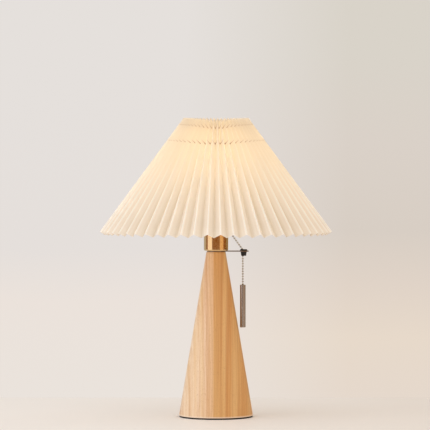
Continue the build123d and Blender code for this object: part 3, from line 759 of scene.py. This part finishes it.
arm_z = UPPER_RING_Z + WELD + WIRE_RADIUS
corner = arc((ARM_REACH - ARM_BEND, arm_z + ARM_BEND), (ARM_BEND, ARM_BEND), -90, 0, 9)
end = np.array([ARM_REACH, top_place[1] - WIRE_RADIUS - WELD])
path = np.concatenate([np.linspace([ARM_START, arm_z], corner[0], 4)[:-1], corner,
                       np.linspace(corner[-1], end, 8)[1:]])
arms = [tube(swing(path, math.radians(90 + 360 / ARMS * k)), WIRE_RADIUS, WIRE_SIDES) for k in range(ARMS)]
gathered("shade_arms", arms, "fitter_arms", coated)


# Pleated shade
# One strip of cream cloth on a stiff backing, folded into 112 panels and fanned over the wire frame.
# The panels keep one width, so folds are deep at the top and shallow at the hem, and two threads hold them.

FLAT_WIDTH = 0.2185
UPPER_STITCH = (0.0125, 0.0104)
LOWER_STITCH = (0.0424, 0.0091)
THREAD_RADIUS = 0.0004
ROWS = 40
ACROSS = np.array([0.0, 0.025, 0.06, 0.12, 0.3, 0.5, 0.7, 0.88, 0.94, 0.975])
COLUMNS = 2 * PLEATS * len(ACROSS)
SOFT_FOLD = 0.06
TURNED = 91.0
SEED = 7
WANDER, SWAY = 0.22, 0.12
UNEVEN_DEPTH = 0.03
RIDGE_HIGHLIGHT_EDGE = (0.0006, 0.0032)
VALLEY_SHADE_FROM = 0.0070
STITCH_SPREAD = (0.0003, 0.0009)

# Plain-woven cloth of 0.6 mm threads with slubs of 1 by 40 mm: a soft, slightly uneven cream that lets
# half of the light through, with the faint sheen of its fibres.
cloth, tree, shader = new_finish("pleated_cream_cloth", Roughness=0.5, Sheen_Weight=0.25,
                                 Sheen_Roughness=0.4)
on_strip = add(tree, "UVMap", uv_map="cloth")
along_strip = add(tree, "SeparateXYZ", {0: on_strip}).node.outputs
warp = add(tree, "TexWave", {"Vector": on_strip, "Scale": 520.0}, bands_direction="X")
weft = add(tree, "TexWave", {"Vector": on_strip, "Scale": 520.0}, bands_direction="Y")
weave = add(tree, "Math", {0: warp, 1: weft}, operation="MULTIPLY")
long_grains = add(tree, "Mapping", {"Vector": on_strip, "Scale": (700, 25, 1)})
slubs = add(tree, "TexNoise", {"Vector": long_grains, "Scale": 1.0, "Detail": 3.0})
tone = add(tree, "Math", {0: add(tree, "MapRange", {"Value": weave, "To Max": 0.3}),
                          1: add(tree, "MapRange", {"Value": slubs, "To Max": 0.7})}, operation="ADD")
cream = add(tree, "Mix", {0: tone, 6: "#EEE5D4", 7: "#F8F1E6"}, **TINT)

# The way from the nearest outer fold, across the cloth: 0 on the fold and one panel in the valley.
in_pleat = add(tree, "Math", {0: along_strip["X"], 1: 2 * PANEL}, operation="MODULO")
from_middle = add(tree, "Math", {0: in_pleat, 1: PANEL}, operation="SUBTRACT")
from_ridge = add(tree, "Math", {0: from_middle}, operation="ABSOLUTE")
ridge_wear_and_highlight = add(tree, "MapRange", {"Value": from_ridge, "From Min": RIDGE_HIGHLIGHT_EDGE[0], "From Max": RIDGE_HIGHLIGHT_EDGE[1],
                                  "To Min": 1.0, "To Max": 0.0})
valley_dust_and_shade = add(tree, "MapRange", {"Value": from_ridge, "From Min": VALLEY_SHADE_FROM, "From Max": PANEL})

# Outer folds get a pale painted highlight with some wear, and valleys a tan painted shade with some dust,
# both stronger near the hem, where the light comes from in front and not from the bulb.
height_of = add(tree, "SeparateXYZ", {0: add(tree, "TexCoord", out="Object")}, out="Z")
low_down = add(tree, "MapRange", {"Value": height_of, "From Min": 0.32, "From Max": 0.41,
                                  "To Min": 1.0, "To Max": 0.12})
# A painted highlight with some wear on the outer folds, and painted shade with some dust in the valleys.
for pattern, most, colour in ((ridge_wear_and_highlight, 0.9, "#FFFDF6"), (valley_dust_and_shade, 0.42, "#D8C6A8")):
    share = add(tree, "Math", {0: add(tree, "MapRange", {"Value": pattern, "To Max": most}), 1: low_down},
                operation="MULTIPLY")
    cream = add(tree, "Mix", {0: share, 6: cream, 7: colour}, **TINT)

# The stitches show as brown points 1 to 2 mm high where the thread passes through, darker deep in the
# folds: partly the thread, partly painted shade of the folds.
rows = []
for from_top in (UPPER_STITCH[0], LOWER_STITCH[0]):
    off = add(tree, "Math", {0: along_strip["Y"], 1: FLAT_WIDTH - from_top}, operation="SUBTRACT")
    off = add(tree, "Math", {0: off}, operation="ABSOLUTE")
    rows.append(add(tree, "MapRange", {"Value": off, "From Min": STITCH_SPREAD[0],
                                       "From Max": STITCH_SPREAD[1], "To Min": 1.0, "To Max": 0.0}))
row = add(tree, "Math", {0: rows[0], 1: rows[1]}, operation="MAXIMUM")
# The stitch mark grows darker deeper in the folds, which paints the folds' shade onto it.
deep_in_fold_shade = add(tree, "MapRange", {"Value": from_ridge, "From Min": 0.0030, "From Max": 0.0095,
                              "To Min": 0.22, "To Max": 0.85})
stitched = add(tree, "Math", {0: row, 1: deep_in_fold_shade}, operation="MULTIPLY")
cream = add(tree, "Mix", {0: stitched, 6: cream, 7: "#9A6E44"}, **TINT)
tree.links.new(cream, shader.inputs["Base Color"])
patterned(tree, shader, weave, relief=0.05)

# Painted glow: the cloth emits light of its own, in place of the lit bulb's light shining through it. It
# grows from the hem up to the bulb's height and falls off a little at the top. Low down the outer folds are
# brightest, and from the bulb's height up the valleys are.
upper_part = add(tree, "MapRange", {"Value": height_of, "From Min": 0.32, "From Max": 0.39})
low_glow = add(tree, "MapRange", {"Value": height_of, "From Min": 0.300, "From Max": 0.382,
                                  "To Min": 0.115, "To Max": 0.265})
high_glow = add(tree, "MapRange", {"Value": height_of, "From Min": 0.435, "From Max": 0.458,
                                   "To Min": 1.0, "To Max": 0.85})
ridge_glow = add(tree, "MapRange", {"Value": ridge_wear_and_highlight, "To Min": 1.0, "To Max": 1.3})
valley_glow = add(tree, "MapRange", {"Value": valley_dust_and_shade, "To Min": 1.0, "To Max": 0.75})
lit_fold = add(tree, "Math", {0: ridge_glow, 1: valley_glow}, operation="MULTIPLY")
deep_fold = add(tree, "MapRange", {"Value": from_ridge, "From Max": PANEL, "To Min": 0.65, "To Max": 1.2})
fold_glow = add(tree, "Mix", {0: upper_part, 2: lit_fold, 3: deep_fold})
unlit_stitch = add(tree, "MapRange", {"Value": stitched, "To Min": 1.0, "To Max": 0.3})
glow = low_glow
for share in (high_glow, fold_glow, unlit_stitch):
    glow = add(tree, "Math", {0: glow, 1: share}, operation="MULTIPLY")
# The cloth's own emission is painted glow.
tree.links.new(glow, shader.inputs["Emission Strength"])
warmer = add(tree, "MapRange", {"Value": height_of, "From Min": 0.300, "From Max": 0.400})
glow_colour = add(tree, "Mix", {0: warmer, 6: "#FFF0DC", 7: "#FBEBC4"}, **TINT)
tree.links.new(glow_colour, shader.inputs["Emission Color"])
through = add(tree, "BsdfTranslucent", {"Color": cream})
half_through = add(tree, "MixShader", {0: 0.5, 1: shader.outputs[0], 2: through})
tree.links.new(half_through, tree.nodes["Material Output"].inputs["Surface"])

rng = np.random.default_rng(SEED)
uneven = rng.normal(0, 1, (3, PLEATS * 2))
where = (np.arange(2 * PLEATS)[:, None] + ACROSS).ravel()


def from_fold_to_fold(values):
    """One value per fold, carried in straight lines from each fold to the next."""
    low = np.floor(where).astype(int)
    return values[low] + (where - low) * (values[(low + 1) % len(values)] - values[low])


def softened(share):
    """Shares from 0 to 1 whose ends are rounded off by parabolas: e / 2 + s * s / (2 e) near each end."""
    near = np.minimum(share, 1 - share)
    near = np.where(near < SOFT_FOLD, SOFT_FOLD / 2 + near ** 2 / (2 * SOFT_FOLD), near)
    return np.where(share < 0.5, near, 1 - near)


# Each point lies on the cone of the outer folds at (turn, along), moved square to the cone by the fold's
# depth times its share across the panel. Folds wander by a fifth of a degree, and differ a little in depth.
along = np.linspace(0, 1, ROWS)[:, None]
radius = HEM[0] + (TOP[0] - HEM[0]) * along
height = HEM[1] + (TOP[1] - HEM[1]) * along
inside = softened(np.abs(1 - where % 2))
wander = math.radians(WANDER) * from_fold_to_fold(uneven[0]) * (1 - 0.6 * along)
wander = wander + math.radians(SWAY) * from_fold_to_fold(uneven[1]) * np.sin(3 * along)
turn = where * HALF - math.radians(TURNED) + wander
depth = fold_depth(radius) * inside * (1 - UNEVEN_DEPTH * np.abs(from_fold_to_fold(uneven[2])))
reach = radius - depth * math.cos(CONE)
level = height - depth * math.sin(CONE)
cloth_points = np.stack([reach * np.cos(turn), reach * np.sin(turn), level], -1)
cloth_uv = np.stack(np.broadcast_arrays(where * PANEL, FLAT_WIDTH * along), -1)
skirt = new_piece("pleated_skirt", cloth_points, sheet_faces(ROWS, COLUMNS), "stand", cloth, 60)
uv = skirt.data.uv_layers.new(name="cloth")
corners = np.empty(len(skirt.data.loops), dtype=np.int32)
skirt.data.loops.foreach_get("vertex_index", corners)
uv.data.foreach_set("uv", cloth_uv.reshape(-1, 2)[corners].ravel())
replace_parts(skirt, "shade_skirt")

# Spun polyester thread, brown against the cream: matt, with a slight fleck along it.
sewing, tree, shader = new_finish("polyester_sewing_thread", Roughness=0.7)
patterned(tree, shader, speckle(tree, 900.0), ("#8A6A4E", "#B08E70"))


def stitch_row(name, from_top, inside, node):
    """One thread right round the shade, from_top down the outer folds and inside them."""
    place = inward((TOP[0] + from_top * math.sin(CONE), TOP[1] - from_top * math.cos(CONE)), inside)
    gathered(name, [hoop(place, THREAD_RADIUS, 224, 6)], node, sewing)


stitch_row("upper_stitching", *UPPER_STITCH, "upper_thread")
stitch_row("lower_stitching", *LOWER_STITCH, "lower_thread")
